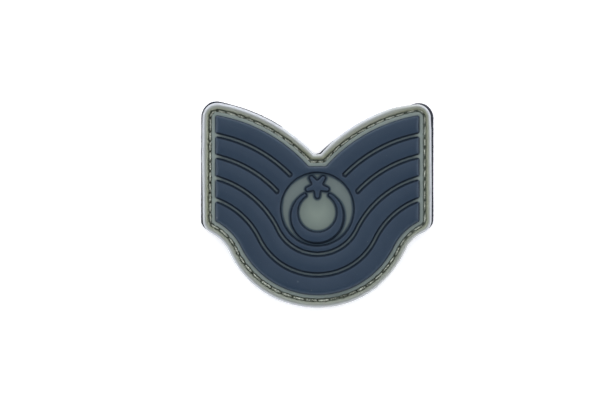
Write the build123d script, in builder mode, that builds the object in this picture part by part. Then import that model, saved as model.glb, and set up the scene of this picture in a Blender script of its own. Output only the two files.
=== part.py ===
from build123d import *
import os
from math import acos, asin, atan2, cos, degrees, hypot, radians, sin, sqrt

# Moulded rank patch, face up: navy stripes, crescent and star on a grey-green base, sewn to hook tape.
# Millimetres. +Z out of the face, +Y towards the notch, +X to the right of the face.
# The origin is on the flat of the hooks, under the middle of the round emblem window.

# Emblem window, and the centres of the arcs that the stripes follow
window_radius = 11.6
window_wall = 1.9            # navy left between the window and the first full groove, at the sides
window_lift = 0.4            # the window's middle stands this far above the bowl arcs' centre
wing_centre_x = 41.1         # centre of the arcs of each wing, sideways from the middle
wing_centre_drop = 20.4      # and below the window's middle

# Navy stripes
field_half_width = 33.0
notch_wall = 2.2             # navy left between the window and the floor of the notch
groove_width = 1.2
upper_stripes = 3            # stripes of each wing above the first full groove
middle_band_width = 5.5
lower_band_width = 6.0
slot_stop = 2.1              # the slots between the upper stripes end this far from the window
field_corner_round = 0.75    # corners at the sides, before the base grows them outwards
slot_end_round = 0.3
navy_height = 0.85           # relief of the navy pieces
navy_edge_round = 0.35

# Emblem
emblem_gap = 0.3             # star and crescent to the wall of the window
star_radius = 4.3
star_tip_round = 0.98
star_core_radius = 1.75      # half the width of each arm where it leaves the middle
star_crotch_round = 0.25
crescent_standoff = 1.1      # the crescent's full circle would pass this far under the star's middle
crescent_belly = 4.1         # width of the crescent at the bottom
crescent_horn_width = 1.4    # width that its two horns taper towards
horn_round = 0.4

# Base moulding, from the navy edge outwards
land_width = 1.0
channel_width = 1.15
channel_depth = 0.5
channel_round = 0.25
rim_width = 1.8
rim_height = 0.75            # above the land
rim_round = 0.75
notch_floor_width = 2.0      # flat of the notch, at the outside of the rim
notch_round = 1.0
plate_thickness = 1.5
plate_edge_round = 0.4

# Hook tape
backing_thickness = 1.0
backing_side_reveal = 0.475  # shows past the rim at the sides
backing_top_reveal = 0.3     # and along the top of the wings and the notch
backing_under_inset = 0.15   # stays hidden under the wings and the bowl
backing_shift = 0.125        # sewn on this far to the right
hook_height = 1.2
hook_margin = 0.4            # bare selvage round the hooks

layer_gap = 0.05             # between one layer and the next

# Heights
backing_bottom = hook_height + layer_gap
base_bottom = backing_bottom + backing_thickness + layer_gap
land_height = base_bottom + plate_thickness
navy_bottom = land_height + layer_gap

# Arcs of the bowl and the wings: each stripe edge is an arc about a wing centre that meets an arc about
# the bowl centre smoothly, so its two radii add up to the distance between the centres
bowl_centre_y = -window_lift
centre_distance = hypot(wing_centre_x, wing_centre_drop - window_lift)
meeting_angle = degrees(atan2(wing_centre_drop - window_lift, wing_centre_x))
upper_field_under = centre_distance - window_radius - window_wall
middle_band_top = upper_field_under - groove_width
middle_band_under = middle_band_top - middle_band_width
lower_band_top = middle_band_under - groove_width
field_under = lower_band_top - lower_band_width

# The top arcs of the wings pass through the ends of the notch floor at the outside of the rim
rim_outset = land_width + channel_width + rim_width
notch_floor_y = window_radius + notch_wall
field_top = hypot(wing_centre_x - notch_floor_width / 2,
                  notch_floor_y + rim_outset + wing_centre_drop) - rim_outset
upper_stripe_width = (field_top - upper_field_under + groove_width) / upper_stripes - groove_width

# Emblem: the star's upper tips and the crescent's belly stand emblem_gap off the wall of the window
tip_arm = star_radius - star_tip_round
tip_angle = radians(54)
star_y = (sqrt((window_radius - emblem_gap - star_tip_round) ** 2 - (tip_arm * cos(tip_angle)) ** 2)
          - tip_arm * sin(tip_angle))
belly_y = emblem_gap - window_radius
crescent_radius = (star_y - crescent_standoff - belly_y) / 2
crescent_y = belly_y + crescent_radius
hollow_radius = crescent_radius - (crescent_belly + crescent_horn_width) / 2
hollow_y = crescent_y + (crescent_belly - crescent_horn_width) / 2
star_above_crescent = star_y - crescent_y
# The horns end where the crescent meets the circle round the star's tips
horn_angle = acos((crescent_radius ** 2 + star_above_crescent ** 2 - star_radius ** 2)
                  / (2 * crescent_radius * star_above_crescent))


def badge_face(half_width, top_radius, under_radius, floor_y):
    """Badge with sharp corners: notch floor, top arcs, upright sides, arcs under the wings and the bowl."""
    wing_centre = (wing_centre_x, -wing_centre_drop)
    notch_angle = 180 - degrees(asin((floor_y + wing_centre_drop) / top_radius))
    top_angle = 180 - degrees(acos((wing_centre_x - half_width) / top_radius))
    under_angle = 180 - degrees(acos((wing_centre_x - half_width) / under_radius))
    with BuildSketch() as face:
        with BuildLine():
            top = CenterArc(wing_centre, top_radius, notch_angle, top_angle - notch_angle)
            under = CenterArc(wing_centre, under_radius, 180 - meeting_angle,
                              under_angle - 180 + meeting_angle)
            side = Line(top @ 1, under @ 1)
            mirror([top, side, under], about=Plane.YZ)
            Line(top @ 0, (-(top @ 0).X, floor_y))
            CenterArc((0, bowl_centre_y), centre_distance - under_radius, 180 + meeting_angle,
                      180 - 2 * meeting_angle)
        make_face()
    return face.sketch


def side_corners(face, half_width):
    """The corners of a face that lie on the two upright sides."""
    return face.vertices().filter_by(lambda corner: abs(abs(corner.X) - half_width) < 0.001)


def notch_corners(face, floor_y):
    """The corners of a face at the two ends of the notch floor."""
    return face.vertices().filter_by(lambda corner: abs(corner.Y - floor_y) < 0.001)


def grown_badge(side, top, under):
    """The navy field grown by these amounts at its sides, along its top and along its underside,
    with rounded corners."""
    half_width = field_half_width + side
    floor_y = notch_floor_y + top
    with BuildSketch() as face:
        add(badge_face(half_width, field_top + top, field_under - under, floor_y))
        fillet(side_corners(face, half_width), field_corner_round + side)
        fillet(notch_corners(face, floor_y), notch_round)
    return face.sketch


def band_face(top_radius, under_radius):
    """Stripe that runs across both wings and round the bowl, between two stripe edges."""
    with BuildSketch() as face:
        add(badge_face(field_half_width, field_top, under_radius, notch_floor_y))
        add(badge_face(field_half_width, field_top, top_radius, notch_floor_y), mode=Mode.SUBTRACT)
        fillet(side_corners(face, field_half_width), field_corner_round)
    return face.sketch


def wing_slots():
    """Slots between the upper stripes: arcs about the wing centres, from past the sides to a ring that
    stands slot_stop off the window."""
    with BuildSketch() as slots:
        for count in range(1, upper_stripes):
            radius = field_top - (upper_stripe_width + groove_width) * count + groove_width / 2
            outer_angle = degrees(acos((field_half_width + rim_outset - wing_centre_x) / radius))
            with BuildLine():
                CenterArc((wing_centre_x, -wing_centre_drop), radius, outer_angle,
                          180 - meeting_angle - outer_angle)
            trace(line_width=groove_width)
        mirror(about=Plane.YZ)
        Circle(window_radius + slot_stop, mode=Mode.SUBTRACT)
    return slots.sketch


def raise_navy(piece):
    """Raises the face just drawn to the height of the navy relief and rounds its top edges."""
    extrude(amount=navy_height)
    fillet(piece.faces().sort_by(Axis.Z)[-1].edges(), navy_edge_round)


# Hooks on the back of the tape, as the flat bed that they fill
hook_outset = rim_outset - hook_margin
with BuildPart() as hook_field:
    with BuildSketch():
        with Locations((backing_shift, 0)):
            add(grown_badge(hook_outset + backing_side_reveal, hook_outset + backing_top_reveal,
                            hook_outset - backing_under_inset))
    extrude(amount=hook_height)
hook_field.part.label = "hook_field"

# Woven tape
with BuildPart() as backing:
    with BuildSketch(Plane.XY.offset(backing_bottom)):
        with Locations((backing_shift, 0)):
            add(grown_badge(rim_outset + backing_side_reveal, rim_outset + backing_top_reveal,
                            rim_outset - backing_under_inset))
    extrude(amount=backing_thickness)
backing.part.label = "backing"

# Base moulding: plate, rounded rim bead, land inside it and the stitch channel between the two
rim_inset = land_width + channel_width
channel_bottom = land_height - channel_depth
with BuildPart() as base:
    with BuildSketch(Plane.XY.offset(base_bottom)):
        add(grown_badge(rim_outset, rim_outset, rim_outset))
    extrude(amount=plate_thickness + rim_height)
    with BuildSketch(Plane.XY.offset(land_height)):
        add(grown_badge(rim_inset, rim_inset, rim_inset))
    extrude(amount=rim_height, mode=Mode.SUBTRACT)
    with BuildSketch(Plane.XY.offset(channel_bottom)):
        add(grown_badge(rim_inset, rim_inset, rim_inset))
        add(grown_badge(land_width, land_width, land_width), mode=Mode.SUBTRACT)
    extrude(amount=channel_depth, mode=Mode.SUBTRACT)
    channel_floor = base.faces().filter_by_position(Axis.Z, channel_bottom, channel_bottom)
    fillet(channel_floor.edges(), channel_round)
    fillet(base.faces().sort_by(Axis.Z)[-1].edges(), min(rim_round, 0.45 * rim_width))
    fillet(base.faces().sort_by(Axis.Z)[0].edges(), plate_edge_round)
base.part.label = "base"

# Navy field of the upper stripes, with the emblem window
with BuildPart() as upper_field:
    with BuildSketch(Plane.XY.offset(navy_bottom)) as upper_face:
        add(badge_face(field_half_width, field_top, upper_field_under, notch_floor_y))
        add(wing_slots(), mode=Mode.SUBTRACT)
        Circle(window_radius, mode=Mode.SUBTRACT)
        fillet(side_corners(upper_face, field_half_width), field_corner_round)
        fillet(notch_corners(upper_face, notch_floor_y), notch_round)
        slot_ends = upper_face.vertices().filter_by(
            lambda corner: abs(hypot(corner.X, corner.Y) - window_radius - slot_stop) < 0.001)
        fillet(slot_ends, slot_end_round)
    raise_navy(upper_field)
upper_field.part.label = "upper_field"

# Stripe under the window
with BuildPart() as middle_band:
    with BuildSketch(Plane.XY.offset(navy_bottom)):
        add(band_face(middle_band_top, middle_band_under))
    raise_navy(middle_band)
middle_band.part.label = "middle_band"

# Stripe along the bottom edge
with BuildPart() as lower_band:
    with BuildSketch(Plane.XY.offset(navy_bottom)):
        add(band_face(lower_band_top, field_under))
    raise_navy(lower_band)
lower_band.part.label = "lower_band"

# Crescent: a disc with a hollow set towards the star, opened by a wedge between its horns
with BuildPart() as crescent:
    with BuildSketch(Plane.XY.offset(navy_bottom)) as crescent_face:
        with Locations((0, crescent_y)):
            Circle(crescent_radius)
        with Locations((0, hollow_y)):
            Circle(hollow_radius, mode=Mode.SUBTRACT)
        wedge_height = 2 * crescent_radius
        wedge_half_width = wedge_height * sin(horn_angle) / cos(horn_angle)
        with BuildLine():
            Polyline((0, crescent_y), (wedge_half_width, crescent_y + wedge_height),
                     (-wedge_half_width, crescent_y + wedge_height), close=True)
        make_face(mode=Mode.SUBTRACT)
        fillet(crescent_face.vertices(), horn_round)
    raise_navy(crescent)
crescent.part.label = "crescent"

# Star with one point down: five tapered arms with round tips
with BuildPart() as star:
    with BuildSketch(Plane.XY.offset(navy_bottom)) as star_face:
        with BuildSketch(mode=Mode.PRIVATE) as arm:
            Circle(star_core_radius)
            with Locations((tip_arm, 0)):
                Circle(star_tip_round)
            make_hull()
        with Locations((0, star_y)):
            with PolarLocations(0, 5, start_angle=-90):
                add(arm.sketch)
        crotches = star_face.vertices().group_by(
            lambda corner: round(hypot(corner.X, corner.Y - star_y), 3))[0]
        fillet(crotches, star_crotch_round)
    raise_navy(star)
star.part.label = "star"

os.makedirs("parts", exist_ok=True)
for piece in (hook_field, backing, base, upper_field, middle_band, lower_band, crescent, star):
    export_step(piece.part, f"parts/{piece.part.label}.step")
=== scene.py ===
"""Looks of a moulded rank patch, face up on a pale floor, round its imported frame.

Sizes are in millimetres, as on a drawing, and each mesh is turned into metres as it is made. +Z points out
of the face, +Y towards the notch and +X to the right of the face.
"""

import logging
import math
from dataclasses import dataclass, replace
from enum import Enum
from typing import Any, Callable, Iterable

import bpy
import numpy as np
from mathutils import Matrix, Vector
from mathutils.geometry import delaunay_2d_cdt

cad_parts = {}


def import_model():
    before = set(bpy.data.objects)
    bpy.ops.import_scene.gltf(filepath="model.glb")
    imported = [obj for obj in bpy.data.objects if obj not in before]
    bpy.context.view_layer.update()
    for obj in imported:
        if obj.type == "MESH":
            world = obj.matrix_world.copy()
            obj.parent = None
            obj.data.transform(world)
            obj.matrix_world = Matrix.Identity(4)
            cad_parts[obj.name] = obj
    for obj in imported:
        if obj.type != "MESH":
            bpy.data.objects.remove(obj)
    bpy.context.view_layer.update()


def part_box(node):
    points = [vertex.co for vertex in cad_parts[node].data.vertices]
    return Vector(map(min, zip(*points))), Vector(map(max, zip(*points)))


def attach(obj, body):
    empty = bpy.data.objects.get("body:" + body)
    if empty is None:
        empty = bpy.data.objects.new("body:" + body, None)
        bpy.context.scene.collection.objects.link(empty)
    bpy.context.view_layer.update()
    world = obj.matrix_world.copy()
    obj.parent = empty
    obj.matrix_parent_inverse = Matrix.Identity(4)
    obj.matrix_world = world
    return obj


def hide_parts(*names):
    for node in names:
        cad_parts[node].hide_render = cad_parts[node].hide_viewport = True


MM = 0.001
STRAIGHT = 2.0e4  # a straight edge is an arc of this radius, in mm
NO_ARC = 1e-6  # an arc shorter than this, in mm, gets no points
WELD = 1e-9  # corners closer than this, in mm, are one
FILL_INSIDE = 1  # the triangulator keeps to the inside of the loops
AT_ONCE = 400  # points that are set against all others in one go
TURN = 2 * math.pi
LOG = logging.getLogger("patch")

Array = np.ndarray
Colour = tuple[float, float, float]
NO_POINTS = np.zeros((0, 2))


def smooth(value: Array, low: float, high: float) -> Array:
    """S-shaped step from 0 to 1.

    Args:
        value: numbers to map.
        low: where the step starts.
        high: where it ends.

    Returns:
        3t^2 - 2t^3, with t the share of the way from low to high, held between 0 and 1.
    """
    share = np.clip((value - low) / (high - low), 0, 1)
    return share * share * (3 - 2 * share)


def waves(along: Array, length: float, pitch: float, seed: int) -> Array:
    """Slow irregular wobble along a closed path.

    Args:
        along: distance along the path.
        length: length of the whole path, after which the wobble closes.
        pitch: shortest wave in it.
        seed: picks the phases.

    Returns:
        Twelve sines with whole numbers of waves and random phases, added to about -1 to 1.
    """
    sines = 12
    draw = np.random.default_rng(seed)
    most = max(2, int(length / pitch))
    counts = draw.integers(max(1, most // 5), most + 1, sines)
    phases = draw.uniform(0, TURN, sines)
    angles = TURN * counts[:, None] * along[None, :] / length + phases[:, None]
    return np.sin(angles).sum(0) / math.sqrt(sines)


@dataclass(frozen=True)
class Edge:
    """Arc that one stretch of an outline follows, filled with material on its inside (1) or outside (-1)."""

    x: float
    y: float
    radius: float
    filled: int = 1

    @classmethod
    def straight(cls, x: float, y: float, angle: float) -> "Edge":
        """Straight edge through a point, whose outward normal has this angle in radians."""
        return cls(x - STRAIGHT * math.cos(angle), y - STRAIGHT * math.sin(angle), STRAIGHT)

    def moved_out(self, amount: float) -> "Edge":
        """The same edge, moved out of the material by an amount."""
        return replace(self, radius=self.radius + self.filled * amount)

    def mirrored(self) -> "Edge":
        """The same edge on the other side of the middle."""
        return replace(self, x=-self.x)

    def corner_centre(self, after: "Edge", round_by: float) -> Array:
        """Centre of the round corner between this edge and the next.

        Both edges are moved into the material by the corner's radius, or out of it for an inner corner, and
        cross at the centre. Of the two crossings the one is taken where the outline turns the right way.

        Args:
            after: the next edge, counterclockwise.
            round_by: the corner's radius, negative for an inner corner.

        Returns:
            The centre, as x and y.
        """
        first, second = self.moved_out(-round_by), after.moved_out(-round_by)
        start = np.array([first.x, first.y])
        line = np.array([second.x, second.y]) - start
        apart = math.hypot(*line)
        line /= apart
        reach = (first.radius**2 - second.radius**2 + apart**2) / (2 * apart)
        height = math.sqrt(max(first.radius**2 - reach**2, 0.0))
        turn = (1 if round_by >= 0 else -1) * first.filled * second.filled
        return start + reach * line + turn * height * np.array([-line[1], line[0]])

    def angle_to(self, point: Array) -> float:
        """Angle in radians from the edge's centre to a point."""
        return math.atan2(point[1] - self.y, point[0] - self.x)


@dataclass(frozen=True)
class Outline:
    """Closed outline of arcs, with material on its left. Each row of arcs holds the centre's x and y,
    the radius, the start angle, the signed sweep, and 1 or -1 as the outside lies away from the centre
    or not."""

    arcs: Array

    @classmethod
    def from_edges(cls, edges: list[Edge], corners: list[float]) -> "Outline":
        """Joins edges with round corners.

        Args:
            edges: counterclockwise round the material.
            corners: radius of the corner after each edge: negative at an inner corner, 0 at a smooth join.

        Returns:
            The outline, two arcs for each edge: the edge's own and its corner's.
        """
        after = edges[1:] + edges[:1]
        centres = [e.corner_centre(n, r) for e, n, r in zip(edges, after, corners)]
        rows = []
        for i, (edge, following, round_by) in enumerate(zip(edges, after, corners)):
            start, end = edge.angle_to(centres[i - 1]), edge.angle_to(centres[i])
            sweep = edge.filled * ((edge.filled * (end - start)) % TURN)
            rows.append([edge.x, edge.y, edge.radius, start, sweep, edge.filled])
            x, y = centres[i]
            turn = 1 if round_by >= 0 else -1
            start = end + (0 if turn == edge.filled else math.pi)
            end = following.angle_to(centres[i]) + (0 if turn == following.filled else math.pi)
            sweep = turn * ((turn * (end - start)) % TURN) if round_by else 0.0
            rows.append([x, y, abs(round_by), start, sweep, turn])
        return cls(np.array(rows))

    @classmethod
    def round_hole(cls, x: float, y: float, radius: float) -> "Outline":
        """Round hole in the material."""
        return cls(np.array([[x, y, radius, math.pi / 2, -TURN, -1.0]]))

    def counts(self, step: float, fewest: int) -> Array:
        """How many points each arc gets at about this spacing, and at least the fewest."""
        lengths = np.abs(self.arcs[:, 2] * self.arcs[:, 4])
        return np.where(lengths > NO_ARC, np.maximum(np.ceil(lengths / step), fewest), 0).astype(int)

    def trace(self, counts: Array) -> tuple[Array, Array]:
        """Points along the outline: centre + radius (cos a, sin a), with a evenly spaced on each arc.

        Args:
            counts: number of points on each arc.

        Returns:
            The points and the outward normals, each as rows of x and y.
        """
        rows = np.repeat(self.arcs, counts, axis=0)
        first = np.repeat(np.cumsum(counts) - counts, counts)
        share = (np.arange(len(rows)) - first) / np.repeat(counts, counts)
        angle = rows[:, 3] + rows[:, 4] * share
        away = np.column_stack([np.cos(angle), np.sin(angle)])
        return rows[:, :2] + rows[:, 2:3] * away, rows[:, 5:6] * away

    def sampled(self, step: float, fewest: int = 7) -> tuple[Array, Array]:
        """Points about a step apart, at least the fewest on each arc, and their outward normals."""
        return self.trace(self.counts(step, fewest))


class Axis(Enum):
    """Way across the badge."""

    X = 0
    Y = 1


@dataclass(frozen=True)
class Fade:
    """Share that climbs from 0 at low to 1 at high along an axis, on both sides alike where mirrored. Over
    places it picks a part of the badge, and over normals what faces one way."""

    axis: Axis
    low: float
    high: float
    mirrored: bool = False

    def at(self, vectors: Array) -> Array:
        """The share for each place or normal."""
        along = vectors[..., self.axis.value]
        return smooth(np.abs(along) if self.mirrored else along, self.low, self.high)


@dataclass(frozen=True)
class Wander:
    """Amount that changes slowly round the badge: rounded readings of the real patch at angles in degrees
    about the middle of the window, counterclockwise from +X, and straight between them. The amounts are in
    mm, or shares: the shine and painted highlight of the rim, and the painted shade and soiling of the
    thread."""

    stops: tuple[tuple[float, float], ...]

    def at(self, points: Array) -> Array:
        """The amount where each point lies."""
        angles, amounts = np.array(self.stops).T
        return np.interp(np.degrees(np.arctan2(points[..., 1], points[..., 0])), angles, amounts, period=360)


def distances_along(points: Array) -> tuple[Array, float]:
    """Distance of each point of a closed path from its first, and the length of the whole path."""
    steps = np.hypot(*(np.roll(points, -1, axis=0) - points).T)
    return np.concatenate([[0.0], np.cumsum(steps)[:-1]]), float(steps.sum())


def nearest(points: Array, targets: Array) -> tuple[Array, Array]:
    """For each point, the distance to the nearest of the targets and which one that is."""
    gaps, which = [], []
    for part in np.array_split(points, max(1, len(points) // AT_ONCE)):
        squares = ((part[:, None, :] - targets[None, :, :]) ** 2).sum(2)
        which.append(squares.argmin(1))
        gaps.append(np.sqrt(squares.min(1)))
    return np.concatenate(gaps), np.concatenate(which)


def inside(points: Array, loops: Iterable[Array]) -> Array:
    """Which points lie in closed loops: those whose ray to +X crosses the loops an odd number of times."""
    found = []
    for part in np.array_split(points, max(1, len(points) // AT_ONCE)):
        odd = np.zeros(len(part), bool)
        x, y = part[:, 0:1], part[:, 1:2]
        for loop in loops:
            (x0, y0), (x1, y1) = loop.T, np.roll(loop, -1, axis=0).T
            spans = (y0 > y) != (y1 > y)
            rise = np.where(y1 == y0, 1.0, y1 - y0)
            odd ^= (spans & (x < x0 + (y - y0) * (x1 - x0) / rise)).sum(1) % 2 == 1
        found.append(odd)
    return np.concatenate(found)


def placed(name: str, data: bpy.types.ID) -> bpy.types.Object:
    """Object of this name and data, put in the scene at the origin."""
    made = bpy.data.objects.new(name, data)
    bpy.context.scene.collection.objects.link(made)
    return made


class Shell:
    """Vertices and faces of a piece while it is put together, in millimetres."""

    def __init__(self) -> None:
        """Starts empty."""
        self.points: list[Array] = []
        self.faces: list[Array] = []
        self.marks: dict[str, list[Array]] = {}
        self.count = 0

    def add(self, points: Array, **marks: Array | float) -> Array:
        """Adds vertices.

        Args:
            points: x, y and z in the last axis, in any arrangement.
            marks: a named number for each vertex, which a finish reads as an attribute.

        Returns:
            Their indices, arranged as the points are.
        """
        shape = points.shape[:-1]
        total = int(np.prod(shape))
        for name in set(self.marks) | set(marks):
            before = self.marks.setdefault(name, [np.zeros(self.count)] if self.count else [])
            before.append(np.broadcast_to(marks.get(name, 0.0), shape).astype(float).ravel())
        self.points.append(points.reshape(-1, 3))
        self.count += total
        return np.arange(self.count - total, self.count).reshape(shape)

    def skin(self, grid: Array, closed: bool = True) -> None:
        """Quads over a grid of indices, whose last axis runs round the shape. They face outwards where the
        rows climb and the points run counterclockwise. closed joins the last point of a row to its first."""
        across = np.roll(grid, -1, axis=-1) if closed else grid[..., 1:]
        here = grid if closed else grid[..., :-1]
        quads = [here[..., :-1, :], across[..., :-1, :], across[..., 1:, :], here[..., 1:, :]]
        self.faces.append(np.stack(quads, axis=-1).reshape(-1, 4))

    def fans(self, rings: Array, flipped: bool = False) -> None:
        """One flat face over each ring of indices, turned over where flipped."""
        self.faces.append(rings[..., ::-1] if flipped else rings)

    def cap(self, loops: list[Array], inner: Array, heights: Array | float,
            flipped: bool = False, **marks: Array | float) -> None:
        """Fills closed loops with triangles, over scattered points inside them.

        Args:
            loops: indices of each loop's vertices: the outside, then the holes.
            inner: x and y of the points to spread inside.
            heights: z of those points.
            flipped: True for a face that looks down.
            marks: numbers for the inner vertices, as in add.
        """
        everything = np.concatenate(self.points)
        rims = [everything[loop, :2] for loop in loops]
        z = np.broadcast_to(heights, len(inner))
        spread = self.add(np.column_stack([inner, z]), **marks)
        which = np.concatenate([*loops, spread])
        flat = np.concatenate([*rims, inner])
        starts = np.cumsum([0] + [len(loop) for loop in loops])
        sides = np.concatenate([
            np.column_stack([np.arange(len(p)), np.roll(np.arange(len(p)), -1)]) + first
            for p, first in zip(loops, starts)])
        made = delaunay_2d_cdt(flat.tolist(), sides.tolist(), [], FILL_INSIDE, WELD)
        source = np.array([ids[0] for ids in made[3]])
        triangles = source[np.array(made[2])]
        triangles = triangles[~inside(flat[triangles].mean(1), rims[1:])]
        a, b, c = (flat[triangles[:, i]] for i in range(3))
        clockwise = np.cross(b - a, c - a) < 0
        triangles[clockwise] = triangles[clockwise][:, ::-1]
        self.faces.append(which[triangles[:, ::-1] if flipped else triangles])

    def piece(self, name: str, finish: "Finish", node: str | None) -> bpy.types.Object:
        """Makes the mesh, dresses it and puts it on the frame.

        Args:
            name: the piece's name.
            finish: its finish.
            node: the frame's node that it stands for, if any.

        Returns:
            The object, at the origin.
        """
        mesh = bpy.data.meshes.new(name)
        faces = [face for table in self.faces for face in table.tolist()]
        mesh.from_pydata(np.concatenate(self.points) * MM, [], faces)
        mesh.polygons.foreach_set("use_smooth", np.ones(len(mesh.polygons), bool))
        for mark, parts in self.marks.items():
            values = np.concatenate(parts).astype(np.float32)
            mesh.attributes.new(mark, "FLOAT", "POINT").data.foreach_set("value", values)
        mesh.materials.append(finish.material())
        mesh.validate()
        made = placed(name, mesh)
        if node:
            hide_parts(node)
        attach(made, "root")
        LOG.info("%s: %d vertices, %d faces", name, len(mesh.vertices), len(faces))
        return made


class Signal:
    """A number, colour or vector on a node's socket. Arithmetic on it adds Math nodes."""

    def __init__(self, tree: bpy.types.NodeTree, socket: bpy.types.NodeSocket) -> None:
        """Wraps an output socket of a node tree."""
        self.tree = tree
        self.socket = socket

    def math(self, operation: str, *others: "Signal | float") -> "Signal":
        """A Math node over this value and the others."""
        return node(self.tree, "ShaderNodeMath", {"operation": operation}, dict(enumerate((self, *others))))

    def __add__(self, other: "Signal | float") -> "Signal":
        """Sum."""
        return self.math("ADD", other)

    def __sub__(self, other: "Signal | float") -> "Signal":
        """Difference."""
        return self.math("SUBTRACT", other)

    def __mul__(self, other: "Signal | float") -> "Signal":
        """Product."""
        return self.math("MULTIPLY", other)

    def __pow__(self, other: "Signal | float") -> "Signal":
        """Power."""
        return self.math("POWER", other)

    def __rsub__(self, other: float) -> "Signal":
        """Difference from a plain number."""
        return self * -1.0 + other

    __radd__ = __add__
    __rmul__ = __mul__

    def step(self, low: float, high: float) -> "Signal":
        """Smooth step from 0 at low to 1 at high, or down from 1 to 0 where high is the smaller."""
        falling = low > high
        ends = {1: high, 2: low} if falling else {1: low, 2: high}
        targets = {3: 1.0, 4: 0.0} if falling else {3: 0.0, 4: 1.0}
        return node(self.tree, "ShaderNodeMapRange", {"interpolation_type": "SMOOTHSTEP"},
                    {0: self, **ends, **targets})


def node(tree: bpy.types.NodeTree, kind: str, settings: dict[str, Any], sockets: dict[Any, Any],
         output: int | str = 0) -> Signal:
    """Adds one node.

    Args:
        tree: where it goes.
        kind: its type.
        settings: its own properties, set first. stops are a ramp's places and colours.
        sockets: values or signals of its inputs, by name or number.
        output: the output to return.

    Returns:
        That output.
    """
    made = tree.nodes.new(kind)
    for name, value in settings.items():
        if name == "stops":
            ramp = made.color_ramp
            for spare in list(ramp.elements)[2:]:
                ramp.elements.remove(spare)
            for i, (place, colour) in enumerate(value):
                stop = ramp.elements[i] if i < 2 else ramp.elements.new(place)
                stop.position, stop.color = place, (*colour, 1.0)
        else:
            setattr(made, name, value)
    for name, value in sockets.items():
        if isinstance(value, Signal):
            tree.links.new(value.socket, made.inputs[name])
        else:
            made.inputs[name].default_value = value
    return Signal(tree, made.outputs[output])


class Paint:
    """Node tree of one finish, with the few patterns that the finishes share."""

    def __init__(self, name: str) -> None:
        """Starts a material with a plain surface shader."""
        self.made = bpy.data.materials.new(name)
        self.made.use_nodes = True
        self.tree = self.made.node_tree
        self.surface = self.tree.nodes["Principled BSDF"]
        self.place = node(self.tree, "ShaderNodeTexCoord", {}, {}, "Object")

    def noise(self, size: float, detail: float = 2.0, stretch: tuple[float, float, float] = (1, 1, 1),
              rough: float = 0.5) -> Signal:
        """Cloudy noise from 0 to 1, with blobs about this many mm across, longer along a small stretch."""
        scaled = node(self.tree, "ShaderNodeMapping", {}, {"Vector": self.place, "Scale": stretch})
        return node(self.tree, "ShaderNodeTexNoise", {}, {
            "Vector": scaled, "Scale": 1 / (size * MM), "Detail": detail, "Roughness": rough})

    def mark(self, name: str) -> Signal:
        """Number that the mesh carries under this name."""
        return node(self.tree, "ShaderNodeAttribute", {"attribute_name": name}, {}, "Fac")

    def blend(self, share: Signal, first: Any, second: Any) -> Signal:
        """Colour between two others, by a share from 0 to 1."""
        sockets = {0: share}
        for place, colour in ((6, first), (7, second)):
            sockets[place] = colour if isinstance(colour, Signal) else (*colour, 1.0)
        return node(self.tree, "ShaderNodeMix", {"data_type": "RGBA"}, sockets, 2)

    def spots(self, places: tuple[tuple[float, float, float], ...]) -> Signal:
        """Soft round spots, 1 at their middles, from rows of x, y and radius in mm."""
        flat = node(self.tree, "ShaderNodeVectorMath", {"operation": "MULTIPLY"},
                    {0: self.place, 1: (1 / MM, 1 / MM, 0.0)})
        gaps = [node(self.tree, "ShaderNodeVectorMath", {"operation": "DISTANCE"},
                     {0: flat, 1: (x, y, 0.0)}, "Value") for x, y, _ in places]
        return sum(gap.step(radius, 0.3 * radius) for gap, (_, _, radius) in zip(gaps, places))

    def bumps(self, layers: Iterable[tuple[Signal, float]]) -> None:
        """Bump from heights, each a pattern from 0 to 1 and its depth in mm, one on top of the other."""
        total = sum(pattern * (depth * MM) for pattern, depth in layers)
        self.set(Normal=node(self.tree, "ShaderNodeBump", {}, {
            "Height": total, "Strength": 1.0, "Distance": 1.0}))

    def set(self, **sockets: Any) -> None:
        """Sets the shader's sockets, spaces in their names written as underscores."""
        for name, value in sockets.items():
            socket = self.surface.inputs[name.replace("_", " ")]
            if isinstance(value, Signal):
                self.tree.links.new(value.socket, socket)
            else:
                socket.default_value = value


class Finish:
    """A finish that is made once and shared by the pieces that have it."""

    _made: dict[str, bpy.types.Material] = {}

    def paint(self, paint: Paint) -> None:
        """Fills in the finish's node tree. Each finish has its own."""
        raise NotImplementedError

    def material(self) -> bpy.types.Material:
        """The finish as a material."""
        name = type(self).__name__
        if name not in self._made:
            paint = Paint(name)
            self.paint(paint)
            self._made[name] = paint.made
        return self._made[name]


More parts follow.
